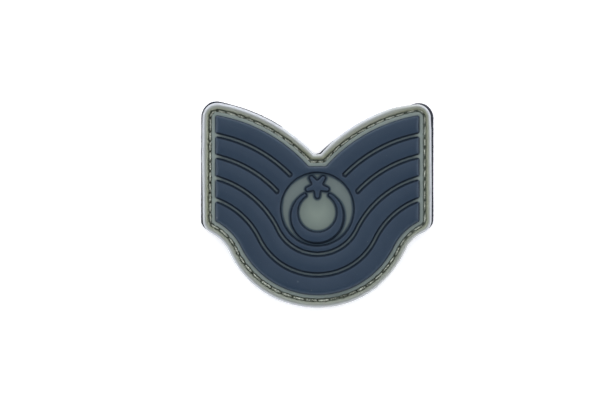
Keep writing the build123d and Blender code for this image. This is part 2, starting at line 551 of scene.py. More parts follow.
@dataclass(frozen=True)
class GreyGreenMoulding(Finish):
    """Soft matte moulding of the base, more olive on the rim. Shade is painted down in the stitch channel,
    in crevices and needle holes, on the rim's inner flank and towards the bottom, and a highlight on the
    rim's outer flank.
    """

    plain: Colour = (0.238, 0.287, 0.272)
    pale: Colour = (0.262, 0.309, 0.292)
    # painted shade: the land darker towards the bottom and over the window's floor
    land_shade_tone: Colour = (0.163, 0.202, 0.194)
    crest: Colour = (0.232, 0.250, 0.208)
    low_crest: Colour = (0.230, 0.248, 0.222)
    # the rim's inner flank: its olive tint with painted shade
    olive: Colour = (0.160, 0.176, 0.122)
    low_olive: Colour = (0.166, 0.184, 0.150)
    sage: Colour = (0.182, 0.225, 0.197)
    # painted highlight on the rim's outer flank
    slope: Colour = (0.300, 0.318, 0.352)
    # painted shade down in the stitch channel, in blotches
    shade_and_grime: Colour = (0.102, 0.120, 0.092)
    # painted shade near the navy walls and in the crevices at their feet
    corner: Colour = (0.014, 0.034, 0.060)
    # painted shade in the needle holes
    hole_shadow: Colour = (0.020, 0.024, 0.018)
    hollow_shade: float = 0.24
    roughness: float = 0.41
    specular: float = 0.3
    coat: float = 0.9
    coat_roughness: float = 0.35
    grain: float = 0.006

    def paint(self, paint: Paint) -> None:
        """Mottles the colour, tints the rim, paints shade and highlight by the marks and adds a fine grain.
        """
        cloudy = paint.noise(6.0, 3.0).step(0.35, 0.65)
        fine = paint.noise(0.22, 3.0)
        body = paint.blend(cloudy * 0.6 + fine.step(0.3, 0.7) * 0.4, self.plain, self.pale)
        body = paint.blend(paint.mark("pale") * 0.9, body, self.sage)
        # painted shade: darker towards the bottom and over the window's floor
        body = paint.blend(paint.mark("dulled"), body, self.land_shade_tone)
        low = paint.mark("low")
        body = paint.blend(paint.mark("rim"), body, paint.blend(low, self.crest, self.low_crest))
        # painted shade on the rim's inner flank
        body = paint.blend(paint.mark("inward"), body, paint.blend(low, self.olive, self.low_olive))
        # painted highlight on the rim's outer flank
        body = paint.blend(paint.mark("slope"), body, self.slope)
        # painted shade near the navy walls and in the crevices at their feet
        body = paint.blend(paint.mark("hollow") * self.hollow_shade, body, self.corner)
        body = paint.blend(paint.mark("crevice") * 0.9, body, self.corner)
        # painted shade down in the channel, in blotches, which also roughens it
        channel_shade_and_grime = paint.mark("deep") * (paint.noise(0.5, 2.0).step(0.3, 0.62) * 0.6 + 0.4)
        body = paint.blend(channel_shade_and_grime, body, self.shade_and_grime)
        # painted shade in the needle holes
        paint.set(
            Base_Color=paint.blend(paint.mark("hole"), body, self.hole_shadow),
            Roughness=cloudy * 0.08 + self.roughness + channel_shade_and_grime * 0.2, Specular_IOR_Level=self.specular,
            Coat_Weight=paint.mark("slope") * self.coat, Coat_Roughness=self.coat_roughness)
        paint.bumps([(fine, self.grain), (paint.noise(1.6, 2.0), 4 * self.grain)])


@dataclass(frozen=True)
class NavyMoulding(Finish):
    """Soft matte moulding of the raised pieces, with a highlight painted along the edges, shade painted on
    the walls, and specks of lint.
    """

    deep: Colour = (0.0100, 0.0270, 0.0545)
    # lighter tone of the cloud and of the painted highlight along the edges
    tone_and_highlight: Colour = (0.030, 0.053, 0.086)
    shaded: Colour = (0.003, 0.008, 0.016)
    lint: Colour = (0.10, 0.12, 0.14)
    roughness: float = 0.42
    specular: float = 0.08
    coat: float = 0.9
    grain: float = 0.005
    specks: tuple[tuple[float, float, float], ...] = (
        (-32.4, -2.8, 0.40), (-6.3, -23.4, 0.45), (-1.9, -26.2, 0.30), (16.2, -10.5, 0.28))

    def paint(self, paint: Paint) -> None:
        """Clouds the colour between deep and a lighter tone, paints a highlight along the edges and shade on
        the walls, sprinkles lint and adds a fine grain.
        """
        cloudy = paint.noise(7.0, 4.0).step(0.3, 0.7)
        fine = paint.noise(0.2, 3.0)
        # painted highlight along the edges, mixed with the cloud
        edge_highlight = paint.mark("edge") * 0.6 + cloudy * 0.14 + fine.step(0.25, 0.75) * 0.06
        body = paint.blend(edge_highlight, self.deep, self.tone_and_highlight)
        # painted shade on the walls
        body = paint.blend(paint.mark("wall") * 0.9, body, self.shaded)
        dust = paint.noise(0.35, 1.0).step(0.73, 0.80) * 0.35 + paint.spots(self.specks) * 0.4
        paint.set(
            Base_Color=paint.blend(dust, body, self.lint),
            Roughness=cloudy * 0.06 + self.roughness, Specular_IOR_Level=self.specular,
            Coat_Weight=self.coat - paint.mark("wall") * self.coat, Coat_Roughness=self.roughness)
        paint.bumps([(fine, self.grain), (paint.noise(2.5, 2.0), 4 * self.grain)])


@dataclass(frozen=True)
class WovenTape(Finish):
    """Dark nylon tape: a plain weave of fine ribs, fuzzy at its cut edge."""

    shade: Colour = (0.010, 0.011, 0.020)
    crown: Colour = (0.030, 0.033, 0.052)
    rib: float = 0.5
    depth: float = 0.05

    def paint(self, paint: Paint) -> None:
        """Weaves ribs across and along, each a sine of its place, and roughens them with fibres."""
        places = [node(paint.tree, "ShaderNodeSeparateXYZ", {}, {0: paint.place}, way.value) for way in Axis]
        across, along = [(place * (TURN / (self.rib * MM))).math("SINE") for place in places]
        weave = across * along * 0.5 + 0.5
        fuzz = paint.noise(0.12, 2.0, (1.0, 0.35, 1.0))
        paint.set(Base_Color=paint.blend(weave * 0.6 + fuzz * 0.4, self.shade, self.crown),
                  Roughness=fuzz * 0.2 + 0.6)
        paint.bumps([(weave, self.depth), (fuzz, 0.02)])


@dataclass(frozen=True)
class HookNylon(Finish):
    """Dark monofilament of the hooks, its shine scuffed by handling."""

    dark: Colour = (0.012, 0.013, 0.022)
    light: Colour = (0.035, 0.038, 0.055)
    roughness: float = 0.42
    specular: float = 0.2

    def paint(self, paint: Paint) -> None:
        """Varies the shade from hook to hook and scuffs the plastic."""
        fine = paint.noise(0.9, 2.0)
        paint.set(Base_Color=paint.blend(fine, self.dark, self.light),
                  Roughness=fine * 0.2 + self.roughness, Specular_IOR_Level=self.specular)
        paint.bumps([(paint.noise(0.1, 2.0), 0.006)])


@dataclass(frozen=True)
class SewingThread(Finish):
    """Twisted thread, pale grey-green where it stands proud, with shade painted where it dives, soiling in
    patches and painted glints.
    """

    pale: Colour = (0.56, 0.60, 0.52)
    # painted shade and soiling of the thread
    shaded_and_soiled: Colour = (0.085, 0.100, 0.074)
    # painted glints on the fibres
    glint_speck: Colour = (0.78, 0.82, 0.72)

    def paint(self, paint: Paint) -> None:
        """Paints shade where the thread dives, adds soiling in patches and painted glints, and roughens it
        with fibres.
        """
        fibres = paint.noise(0.12, 3.0, (1.0, 1.0, 0.5))
        patches = paint.noise(0.55, 2.0)
        # painted shade where the thread dives, with soiling in patches
        shade_and_soil = paint.mark("dive") * 0.75 + fibres.step(0.7, 0.3) * 0.2 + patches.step(0.60, 0.42) * 0.55
        body = paint.blend(shade_and_soil, self.pale, self.shaded_and_soiled)
        # painted glints
        glint_specks = paint.noise(0.36, 1.0).step(0.60, 0.68) * 0.8
        paint.set(Base_Color=paint.blend(glint_specks, body, self.glint_speck), Roughness=fibres * 0.15 + 0.65)
        paint.bumps([(fibres, 0.02)])


@dataclass(frozen=True)
class PaleFloor(Finish):
    """Plain pale table top that glows a little, as a light table does."""

    shade: Colour = (0.86, 0.86, 0.87)
    cloud: Colour = (0.84, 0.84, 0.85)
    glow: Colour = (0.95, 0.96, 1.0)
    glow_strength: float = 0.5

    def paint(self, paint: Paint) -> None:
        """Matte, with the faintest cloud."""
        drift = paint.noise(120.0, 2.0)
        paint.set(Base_Color=paint.blend(drift * 0.2, self.shade, self.cloud), Roughness=drift * 0.1 + 0.75,
                  Emission_Color=(*self.glow, 1.0), Emission_Strength=self.glow_strength)


@dataclass(frozen=True)
class Levels:
    """Heights of the layers, in mm."""

    hooks_bottom: float
    tape_bottom: float
    tape_top: float
    base_bottom: float
    rim_top: float
    land: float
    navy_top: float

    @classmethod
    def from_frame(cls) -> "Levels":
        """Reads the heights off the frame's nodes."""
        heights = {name: [corner.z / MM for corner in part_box(name)]
                   for name in ("hook_field", "backing", "base", "upper_field")}
        return cls(heights["hook_field"][0], *heights["backing"], *heights["base"], *heights["upper_field"])


@dataclass(frozen=True)
class Badge:
    """Plan of the badge. The stripes follow arcs about a centre beside each wing and one under the
    window, and each edge's two radii add up to the distance between those centres, so that its arcs meet
    smoothly."""

    window_radius: float = 11.6
    window_wall: float = 1.9
    window_lift: float = 0.4
    wing_x: float = 41.1
    wing_drop: float = 20.4
    half_width: float = 33.0
    notch_wall: float = 2.2
    groove: float = 1.2
    sags: tuple[float, ...] = (0.0, 0.1, 0.0, 0.0)
    middle_width: float = 5.5
    lower_width: float = 6.0
    slot_stop: float = 2.1
    corner_round: float = 0.75
    slot_round: float = 0.2
    notch_half_width: float = 1.0
    notch_round: float = 1.0
    land_width: float = 1.0
    channel_width: float = 1.15
    rim_width: float = 1.8

    @property
    def outer_wall(self) -> float:
        """From the navy edge to the channel's outer wall."""
        return self.land_width + self.channel_width

    @property
    def rim_outset(self) -> float:
        """From the navy edge to the outside of the rim."""
        return self.outer_wall + self.rim_width

    @property
    def seam_outset(self) -> float:
        """From the navy edge to the middle of the stitch channel."""
        return self.land_width + self.channel_width / 2

    @property
    def centre_distance(self) -> float:
        """From a wing's centre to the bowl's."""
        return math.hypot(self.wing_x, self.wing_drop - self.window_lift)

    @property
    def upper_under(self) -> float:
        """Wing radius of the underside of the upper stripes."""
        return self.centre_distance - self.window_radius - self.window_wall

    @property
    def lower_under(self) -> float:
        """Wing radius of the underside of the lowest stripe."""
        return self.upper_under - self.middle_width - self.lower_width - 2 * self.groove

    @property
    def notch_y(self) -> float:
        """Height of the navy field's edge at the notch."""
        return self.window_radius + self.notch_wall

    @property
    def top(self) -> float:
        """Wing radius of the top of the upper stripes, from the width of the notch at the rim's outside."""
        reach = self.notch_y + self.rim_outset + self.wing_drop
        return math.hypot(self.wing_x - self.notch_half_width, reach) - self.rim_outset

    @property
    def stripe_width(self) -> float:
        """Width of one of the upper stripes."""
        return (self.top - self.upper_under + self.groove) / (len(self.sags) - 1) - self.groove

    def wing(self, radius: float, filled: int) -> Edge:
        """Arc about the left wing's centre."""
        return Edge(-self.wing_x, -self.wing_drop, radius, filled)

    def bowl(self, wing_radius: float, filled: int) -> Edge:
        """Arc about the bowl's centre that goes on from a wing arc of this radius."""
        return Edge(0.0, -self.window_lift, self.centre_distance - wing_radius, filled)

    def side(self, outset: float) -> Edge:
        """Upright left side, this far outside the navy edge."""
        return Edge.straight(-self.half_width - outset, 0.0, math.pi)

    def mirrored(self, edges: list[Edge], corners: list[float]) -> Outline:
        """Outline from its left half.

        Args:
            edges: counterclockwise, from an edge that crosses the middle at the top to one at the bottom.
            corners: the corner after each edge but the last.

        Returns:
            The whole outline.
        """
        right = [edge.mirrored() for edge in edges[-2:0:-1]]
        return Outline.from_edges(edges + right, corners + corners[::-1])

    def grown(self, outset: float) -> Outline:
        """The navy field's outside, moved out evenly."""
        radius = self.lower_under - outset
        corner = self.corner_round + outset
        edges = [Edge.straight(0.0, self.notch_y + outset, math.pi / 2), self.wing(self.top + outset, 1),
                 self.side(outset), self.wing(radius, -1), self.bowl(radius, 1)]
        return self.mirrored(edges, [-self.notch_round, corner, corner, 0.0])

    def band(self, top: float, under: float, top_flare: float, under_flare: float) -> Outline:
        """Stripe across both wings and round the bowl.

        Args:
            top: wing radius of its upper edge.
            under: wing radius of its lower edge.
            top_flare: how far the foot of its wall stands out of the upper edge.
            under_flare: the same for the lower edge.

        Returns:
            The outline.
        """
        top, under = top + top_flare, under - under_flare
        edges = [self.bowl(top, -1), self.wing(top, 1), self.side(0.0), self.wing(under, -1),
                 self.bowl(under, 1)]
        return self.mirrored(edges, [0.0, self.corner_round, self.corner_round, 0.0])

    def upper_field(self, flare: float) -> Outline:
        """The upper stripes: notch floor, then each stripe's top, side and underside with the slots between
        them, which end on a ring round the window, and the arcs under the last.

        Args:
            flare: how far the foot of the wall stands out into slots and groove.

        Returns:
            The outline.
        """
        edges = [Edge.straight(0.0, self.notch_y, math.pi / 2)]
        corners = [-self.notch_round]
        ring = Edge(0.0, 0.0, self.window_radius + self.slot_stop + flare, 1)
        last = len(self.sags) - 2
        for count in range(last + 1):
            top = self.top - count * (self.stripe_width + self.groove)
            under = top - self.stripe_width - flare - self.sags[count + 1]
            top -= self.sags[count]
            edges += [self.wing(top + (flare if count else 0.0), 1), self.side(0.0), self.wing(under, -1)]
            corners += [self.corner_round, self.corner_round]
            if count < last:
                edges.append(ring)
                corners += [-self.slot_round, -self.slot_round]
        edges.append(self.bowl(self.upper_under - flare, 1))
        corners.append(0.0)
        return self.mirrored(edges, corners)


@dataclass(frozen=True)
class Emblem:
    """Plan of the crescent and star in the window: the star's upper tips and the crescent's belly stand a
    small gap off the window's wall, and the horns end where the crescent meets the circle round the star."""

    gap: float = 0.42
    star_radius: float = 4.25
    tip_round: float = 0.98
    core_radius: float = 1.45
    crotch_round: float = 0.25
    standoff: float = 0.98
    belly: float = 4.1
    belly_gap: float = 0.3
    horn_width: float = 1.4
    horn_round: float = 0.7
    horn_tuck: float = 0.14
    points: int = 5

    def star_y(self, window: float) -> float:
        """Height of the star's middle in a window of this radius."""
        arm = self.star_radius - self.tip_round
        lean = math.radians(54)
        reach = window - self.gap - self.tip_round
        return math.sqrt(reach**2 - (arm * math.cos(lean)) ** 2) - arm * math.sin(lean)

    def star(self, window: float) -> Outline:
        """Five tapered arms with round tips, one of them pointing down: for each the tip's circle and its
        two straight flanks, which touch the tip's circle and the core's."""
        y = self.star_y(window)
        arm = self.star_radius - self.tip_round
        taper = math.asin((self.core_radius - self.tip_round) / arm)
        edges, corners = [], []
        for count in range(self.points):
            along = -math.pi / 2 + TURN * count / self.points
            for lean in (taper - math.pi / 2, None, math.pi / 2 - taper):
                if lean is None:
                    edges.append(Edge(arm * math.cos(along), y + arm * math.sin(along), self.tip_round))
                else:
                    reach = np.array([math.cos(along + lean), math.sin(along + lean)]) * self.core_radius
                    edges.append(Edge.straight(reach[0], y + reach[1], along + lean))
            corners += [0.0, 0.0, -self.crotch_round]
        return Outline.from_edges(edges, corners)

    def discs(self, window: float) -> tuple[float, float, float, float]:
        """Height and radius of the crescent's disc, then of its hollow."""
        top, bottom = self.star_y(window) - self.standoff, self.belly_gap - window
        radius, y = (top - bottom) / 2, (top + bottom) / 2
        hollow_y = y + (self.belly - self.horn_width) / 2
        return y, radius, hollow_y, radius - (self.belly + self.horn_width) / 2

    def crescent(self, window: float) -> Outline:
        """Disc with a hollow set towards the star, open between two horns with round ends."""
        y, radius, hollow_y, hollow = self.discs(window)
        above = self.star_y(window) - y
        reach = self.star_radius - self.horn_tuck
        horn = math.acos((radius**2 + above**2 - reach**2) / (2 * radius * above))
        edges = [Edge.straight(0.0, y, horn), Edge(0.0, y, radius, 1),
                 Edge.straight(0.0, y, math.pi - horn), Edge(0.0, hollow_y, hollow, -1)]
        ends = self.horn_round
        return Outline.from_edges(edges, [ends] * len(edges))


def scattered(low: Array, high: Array, pitch: float, seed: int) -> Array:
    """Points of a triangular lattice over a box, each nudged a little at random."""
    draw = np.random.default_rng(seed)
    rows = np.arange(low[1], high[1], pitch * math.sqrt(0.75))
    columns = np.arange(low[0], high[0], pitch)
    x, y = np.meshgrid(columns, rows)
    x = x + (np.arange(len(rows)) % 2)[:, None] * pitch / 2
    points = np.column_stack([x.ravel(), y.ravel()])
    return points + draw.uniform(-0.12, 0.12, points.shape) * pitch


class Raised(Enum):
    """Raised navy pieces, by the node that each stands for."""

    UPPER_FIELD = "upper_field"
    MIDDLE_BAND = "middle_band"
    LOWER_BAND = "lower_band"
    CRESCENT = "crescent"
    STAR = "star"

    @property
    def lean(self) -> tuple[tuple[float, float], float]:
        """Which way its widest wall faces, and how much wider than the others that wall is, as a share."""
        if self is Raised.STAR:
            return (0.0, 0.0), 0.0
        return ((0.7, -0.7), 0.45) if self is Raised.CRESCENT else ((0.0, 1.0), 0.25)


@dataclass(frozen=True)
class Wall:
    """Wall of a raised piece: the indices of its foot and of its top ring, the line of that ring, how strong
    the painted highlight on its edge is, and where the crown falls off steeply to it."""

    foot: Array
    rim: Array
    line: Array
    edge_highlight: Array
    steep: Array


@dataclass(frozen=True)
class NavyRelief:
    """Raised navy pieces: walls with a draft, a tight shoulder and a top crowned from edge to edge."""

    badge: Badge
    emblem: Emblem
    levels: Levels
    step: float = 0.3
    wall_width: float = 0.62
    wall_power: float = 1.7
    wall_shares: tuple[float, ...] = (0.0, 0.1, 0.22, 0.35, 0.48, 0.6, 0.7, 0.79, 0.86, 0.92, 0.965, 1.0)
    flare: float = 0.22
    crown: float = 0.22
    crown_reach: float = 2.9
    shoulder: float = 0.7
    pitch: float = 0.6
    clearance: float = 0.005
    outside: tuple[float, float] = (0.6, 0.2)
    # painted highlight along the top edges: its share where sheltered, its width over the top and its glint
    sheltered: float = 0.22
    highlight_width: float = 0.45
    glint: float = 0.5
    open_shade: float = 0.75
    right_shade: float = 0.3
    emblem_clear: tuple[float, float] = (7.5, 8.5)
    facing_right: Fade = Fade(Axis.X, 0.5, 0.9)
    upper_part: Fade = Fade(Axis.Y, 4.0, 12.0)

    def crowned(self, points: Array, line: Array, steep: Array) -> Array:
        """Height of the crown: crown (1 - (1 - gap / reach)^2), with a long reach from most edges and a
        short one from the ends of the stripes and the bottom of the field, and the lower of the two.

        Args:
            points: places on the top.
            line: the edge of the top.
            steep: which points of the edge have the short reach.

        Returns:
            The heights above the edge of the top.
        """
        share = np.ones(len(points))
        for part, reach in ((line[~steep], self.crown_reach), (line[steep], self.shoulder)):
            if len(part):
                share = np.minimum(share, nearest(points, part)[0] / reach)
        return self.crown * (1 - (1 - share) ** 2)

    def plans(self) -> dict[Raised, list[Outline]]:
        """Foot of each raised piece's wall: its outside, then its holes."""
        badge, window, flare = self.badge, self.badge.window_radius, self.flare
        middle_top = badge.upper_under - badge.groove
        middle_under = middle_top - badge.middle_width
        lower_top = middle_under - badge.groove
        return {
            Raised.UPPER_FIELD: [badge.upper_field(flare), Outline.round_hole(0.0, 0.0, window)],
            Raised.MIDDLE_BAND: [badge.band(middle_top, middle_under, flare, flare)],
            Raised.LOWER_BAND: [badge.band(lower_top, badge.lower_under, flare, 0.0)],
            Raised.CRESCENT: [self.emblem.crescent(window)],
            Raised.STAR: [self.emblem.star(window)],
        }

    def wall(self, shell: Shell, outline: Outline, heights: Array, kind: Raised) -> Wall:
        """Adds one wall. Each ring stands in from the foot by its share of the width, which grows where the
        wall faces the way that its piece leans, but not on the badge's outside or near the star.

        Args:
            shell: the piece so far.
            outline: the foot.
            heights: height of each ring.
            kind: which piece it is.

        Returns:
            The wall.
        """
        points, normals = outline.sampled(self.step)
        field_edge = self.badge.grown(0.0).sampled(self.step)[0]
        towards, lean = kind.lean
        shares = np.array(self.wall_shares)
        outermost = smooth(nearest(points, field_edge)[0], *self.outside)
        right = self.facing_right.at(normals)
        # painted highlight along the edge: faint where sheltered, full on the badge's outside, brighter
        # where it faces right up top
        edge_highlight = self.sheltered + (1 - self.sheltered) * outermost
        edge_highlight = edge_highlight * (1 + self.glint * right * self.upper_part.at(points) * outermost)
        facing = smooth(normals @ np.array(towards), 0.2, 0.8)
        facing = facing * smooth(np.hypot(*points.T), *self.emblem_clear)
        widths = self.wall_width * (1 + lean * facing * (1 - outermost))
        flat = points[None] - (shares[:, None] * widths)[..., None] * normals[None]
        z = np.broadcast_to(heights[:, None, None], flat.shape[:2] + (1,))
        # painted shade on the walls, less on the badge's outside and least where they face right
        shown = outermost * (self.open_shade - self.right_shade * right)
        grid = shell.add(np.concatenate([flat, z], axis=2),
                         edge=smooth(shares, 0.7, 0.95)[:, None] * edge_highlight,
                         wall=smooth(shares, 1.0, 0.7)[:, None] * (1 - shown))
        shell.skin(grid)
        return Wall(grid[0], grid[-1], flat[-1], edge_highlight, (outermost > 0.5) & (normals[:, 1] < 0.3))

    def build(self, kind: Raised, outlines: list[Outline], seed: int) -> bpy.types.Object:
        """Makes one raised piece.

        A ring at the share s of the wall's width stands at 1 - (1 - s)^1.7 of its height. Inside the last
        ring the top follows the crown.

        Args:
            kind: which piece it is.
            outlines: the foot of its wall, outside first, then holes.
            seed: nudges the points of its top.

        Returns:
            The piece.
        """
        shell = Shell()
        bottom = self.levels.land + self.clearance
        full = self.levels.navy_top - self.crown - bottom
        heights = bottom + full * (1 - (1 - np.array(self.wall_shares)) ** self.wall_power)
        walls = [self.wall(shell, outline, heights, kind) for outline in outlines]
        lines = [wall.line for wall in walls]
        line = np.concatenate(lines)
        inner = scattered(line.min(0), line.max(0), self.pitch, seed)
        inner = inner[inside(inner, lines)]
        gaps, which = nearest(inner, line)
        kept = gaps > 0.5 * self.step
        inner, gaps = inner[kept], gaps[kept]
        edge_highlight = np.concatenate([wall.edge_highlight for wall in walls])[which[kept]]
        crown = self.crowned(inner, line, np.concatenate([wall.steep for wall in walls]))
        # the painted highlight fades in over the top from the edge
        shell.cap([wall.rim for wall in walls], inner, bottom + full + crown,
                  edge=smooth(gaps, self.highlight_width, 0.0) * edge_highlight)
        shell.cap([wall.foot for wall in walls], NO_POINTS, bottom, flipped=True)
        return shell.piece(f"navy_{kind.value}", NavyMoulding(), kind.value)

    def build_all(self) -> None:
        """Makes the upper stripes, the two lower ones, the crescent and the star."""
        for seed, (kind, outlines) in enumerate(self.plans().items()):
            self.build(kind, outlines, seed)


@dataclass(frozen=True)
class Seam:
    """Line of lockstitches down the channel, with the needle holes that show on the real patch."""

    badge: Badge
    step: float = 0.05
    pitch: float = 3.5
    jitter: float = 0.22
    shift: Wander = Wander((
        (2, 0.12), (42, 0.10), (48, -0.06), (79, -0.08), (107, -0.20), (136, -0.18), (143, -0.04),
        (185, 0.0), (204, 0.10), (222, 0.18), (239, 0.11), (270, 0.14), (310, 0.10), (321, 0.02),
        (345, 0.05)))
    known: tuple[tuple[float, float], ...] = (
        (-13.9, 25.0), (-20.3, 28.3), (-25.9, 30.3), (-29.3, 31.1), (-32.2, 31.6), (-34.2, 29.3),
        (-34.4, 24.8), (-34.3, 21.9), (-34.4, 15.3), (-34.4, 5.2), (-34.4, -4.6), (-28.7, -9.1),
        (-20.8, -20.6), (-11.6, -26.9), (-4.1, -29.2), (0.0, -29.5), (3.8, -29.3), (9.8, -27.7),
        (15.6, -24.8), (23.2, -17.7), (28.6, -9.3), (30.4, -7.1), (33.9, -4.7), (34.8, 2.6), (34.8, 23.1),
        (28.2, 30.9), (12.9, 24.4), (4.9, 18.3), (1.9, 15.5), (-0.1, 15.4), (-2.2, 15.5))
    seed: int = 11

    def path(self) -> tuple[Array, Array, Array, float]:
        """The seam's line: points, outward normals, distances along it and its length."""
        points, normals = self.badge.grown(self.badge.seam_outset).sampled(self.step, 8)
        along, length = distances_along(points)
        return points + self.shift.at(points)[:, None] * normals, normals, along, length

    def holes(self) -> Array:
        """Distances along the seam of the needle holes: those whose places are known, and between each two
        of them others about a pitch apart, each a little off at random."""
        points, _, along, length = self.path()
        fixed = np.sort(along[nearest(np.array(self.known), points)[1]])
        gaps = np.diff(np.append(fixed, fixed[0] + length))
        counts = np.maximum(np.round(gaps / self.pitch), 1).astype(int)
        first = np.repeat(np.cumsum(counts) - counts, counts)
        share = (np.arange(counts.sum()) - first) / np.repeat(counts, counts)
        nudge = np.random.default_rng(self.seed).normal(0, self.jitter, len(share)) * (share > 0)
        return np.sort((np.repeat(fixed, counts) + share * np.repeat(gaps, counts) + nudge) % length)

    def at(self, distance: Array) -> tuple[Array, Array]:
        """Points and outward normals of the seam at these distances."""
        points, normals, along, length = self.path()
        where = np.mod(distance, length)
        stops = np.append(along, length)
        return tuple(
            np.stack([np.interp(where, stops, np.append(table[:, i], table[0, i])) for i in (0, 1)], -1)
            for table in (points, normals))


@dataclass(frozen=True)
class Around:
    """What the base's section meets at each point round the badge: the middle of the channel, the outward
    normal, the seam's shift, the distance along the seam, and how near a needle hole and how rough it is.
    length is the whole seam's."""

    middle: Array
    normals: Array
    shift: Array
    place: Array
    length: float
    near_hole: Array
    rough: Array


@dataclass(frozen=True)
class BaseMoulding:
    """Grey-green base: plate, bead-like rim, stitch channel puckered at each needle hole, and flat land."""

    badge: Badge
    levels: Levels
    seam: Seam
    relief: NavyRelief
    step: float = 0.17
    fine_pitch: float = 0.27
    coarse_pitch: float = 1.2
    channel_depth: float = 0.5
    crest_share: float = 0.56
    rim_drop: float = 1.75
    rim_foot: float = 0.2
    rim_power: float = 0.8
    foot_round: float = 0.3
    floor_inset: float = 0.06
    floor_rises: tuple[float, ...] = (0.08, 0.02, 0.0, 0.0, 0.0, 0.0, 0.03)
    step_outsets: tuple[float, ...] = (0.12, 0.07, 0.03, -0.02, -0.12)
    step_rises: tuple[float, ...] = (0.12, 0.27)
    step_drops: tuple[float, ...] = (0.09, 0.02, 0.0)
    pucker: float = 0.38
    pucker_length: float = 0.42
    pucker_width: float = 0.42
    notch_spared: float = 0.45
    least_rough: float = 0.3
    wall_wobble: float = 0.07
    wobble_reach: float = 0.3
    wobble_pitch: float = 1.3
    crumple: float = 0.12
    crumple_pitch: float = 0.8
    hole_shade: float = 0.72
    wing_lean: float = 0.14
    lean_reach: float = 0.35
    wall_share: float = 0.35
    # where the painted highlight on the rim's outer flank and the painted shade on its inner flank lie
    wing_light: float = 0.32
    side_light: float = 0.2
    slope_start: float = 0.32
    slope_heights: tuple[float, float] = (2.6, 3.6)
    inward_end: float = 0.65
    inward_full: float = 0.25
    left_part: Fade = Fade(Axis.X, -5.0, -25.0)
    right_part: Fade = Fade(Axis.X, 20.0, 32.0)
    right_end: Fade = Fade(Axis.X, 24.0, 30.0)
    right_of_notch: Fade = Fade(Axis.X, -2.0, 4.0)
    notch: Fade = Fade(Axis.X, 3.4, 2.4, True)
    beside_notch: Fade = Fade(Axis.X, 1.2, 4.5, True)
    wings: Fade = Fade(Axis.X, 3.0, 7.0, True)
    upper_part: Fade = Fade(Axis.Y, 6.0, 12.0)
    lower_part: Fade = Fade(Axis.Y, -2.0, -12.0)
    facing_up: Fade = Fade(Axis.Y, 0.3, 0.9)
    facing_left: Fade = Fade(Axis.X, -0.9, -0.99)
    patches: tuple[tuple[float, float, float, float], ...] = (
        (7.5, -28.5, 6.0, 0.55), (0.0, 15.5, 3.5, 0.30), (7.5, 19.5, 4.0, 0.5))
    window_reach: tuple[tuple[float, ...], ...] = ((2.0, 4.0, 7.5, 10.0), (0.92, 0.6, 0.6, 1.0))
    hollow_reach: float = 0.75
    groove_reach: float = 0.55
    least_crevice: float = 0.22
    rim_wander: Wander = Wander((
        (5, -0.05), (36, -0.12), (42, -0.40), (45, -0.36), (50, 0.24), (71, 0.26), (80, -0.02),
        (99, -0.10), (138, 0.13), (154, 0.27), (173, 0.08), (196, -0.05), (222, 0.20), (243, 0.22),
        (253, 0.10), (290, 0.18), (306, 0.12), (314, -0.14), (336, -0.20), (341, -0.42), (346, -0.36),
        (351, -0.10)))
    # shine of the rim's outer flank and strength of its painted highlight, round the badge
    highlight_and_gloss: Wander = Wander((
        (42, 1.0), (46, 0.5), (50, 0.6), (56, 1.0), (80, 1.0), (84, 0.8), (93, 0.8), (97, 1.0),
        (299, 1.0), (317, 0.45), (343, 0.42), (347, 0.9), (352, 1.0)))

    @property
    def crest(self) -> float:
        """From the navy edge to the rim's crest."""
        return self.badge.rim_outset - self.crest_share * self.badge.rim_width

    def profile(self) -> tuple[Array, Array]:
        """Cross-section from the underside round the outside to the land.

        The rim is two quarter ellipses that meet at its crest: the outer falls rim_drop to the upright
        wall, the inner falls to the channel's floor, which has rounded corners, and the last step climbs to
        the land.

        Returns:
            The outsets from the navy edge and the heights.
        """
        levels, out, crest, inner = self.levels, self.badge.rim_outset, self.crest, self.badge.outer_wall
        land_edge = self.badge.land_width
        floor = levels.land - self.channel_depth
        quarter = np.linspace(0, math.pi / 2, 12)
        foot = np.linspace(0, math.pi / 2, 5)
        r = self.foot_round
        drop = floor + self.rim_foot
        parts = [
            (out - r + r * np.sin(foot), levels.base_bottom + r - r * np.cos(foot)),
            (crest + (out - crest) * np.cos(quarter),
             levels.rim_top - self.rim_drop * (1 - np.sin(quarter))),
            (crest - (crest - inner) * np.sin(quarter[1:]),
             drop + (levels.rim_top - floor - self.rim_foot) * np.cos(quarter[1:]) ** self.rim_power),
            (np.linspace(inner - self.floor_inset, land_edge + self.rim_foot, len(self.floor_rises)),
             floor + np.array(self.floor_rises)),
            (np.array(self.step_outsets) + land_edge,
             np.append(floor + np.array(self.step_rises), levels.land - np.array(self.step_drops))),
        ]
        return np.concatenate([p[0] for p in parts]), np.concatenate([p[1] for p in parts])

    def open_floor(self, edge: Array) -> tuple[Array, Array, Array]:
        """Points of the flat inside the channel: close together where the floor shows, sparse under the
        navy.

        Args:
            edge: the closed line that bounds the flat.

        Returns:
            The points, the distance of each to the nearest navy wall's foot, 0 under the navy, and its depth
            inside the navy field's outside, 0 on the land round it.
        """
        loops = [outline.sampled(self.fine_pitch)[0]
                 for outlines in self.relief.plans().values() for outline in outlines]
        feet = np.concatenate(loops)
        field_edge = self.badge.grown(0.0).sampled(self.fine_pitch)[0]
        kept = []
        for pitch, covered in ((self.fine_pitch, False), (self.coarse_pitch, True)):
            points = scattered(edge.min(0), edge.max(0), pitch, 3)
            kept.append(points[(inside(points, loops) == covered) & inside(points, [edge])])
        points = np.concatenate(kept)
        gaps = nearest(points, feet)[0]
        gaps[len(kept[0]):] = 0.0
        depth = nearest(points, field_edge)[0] * inside(points, [field_edge])
        clear = nearest(points, edge)[0] > 0.15
        return points[clear], gaps[clear], depth[clear]

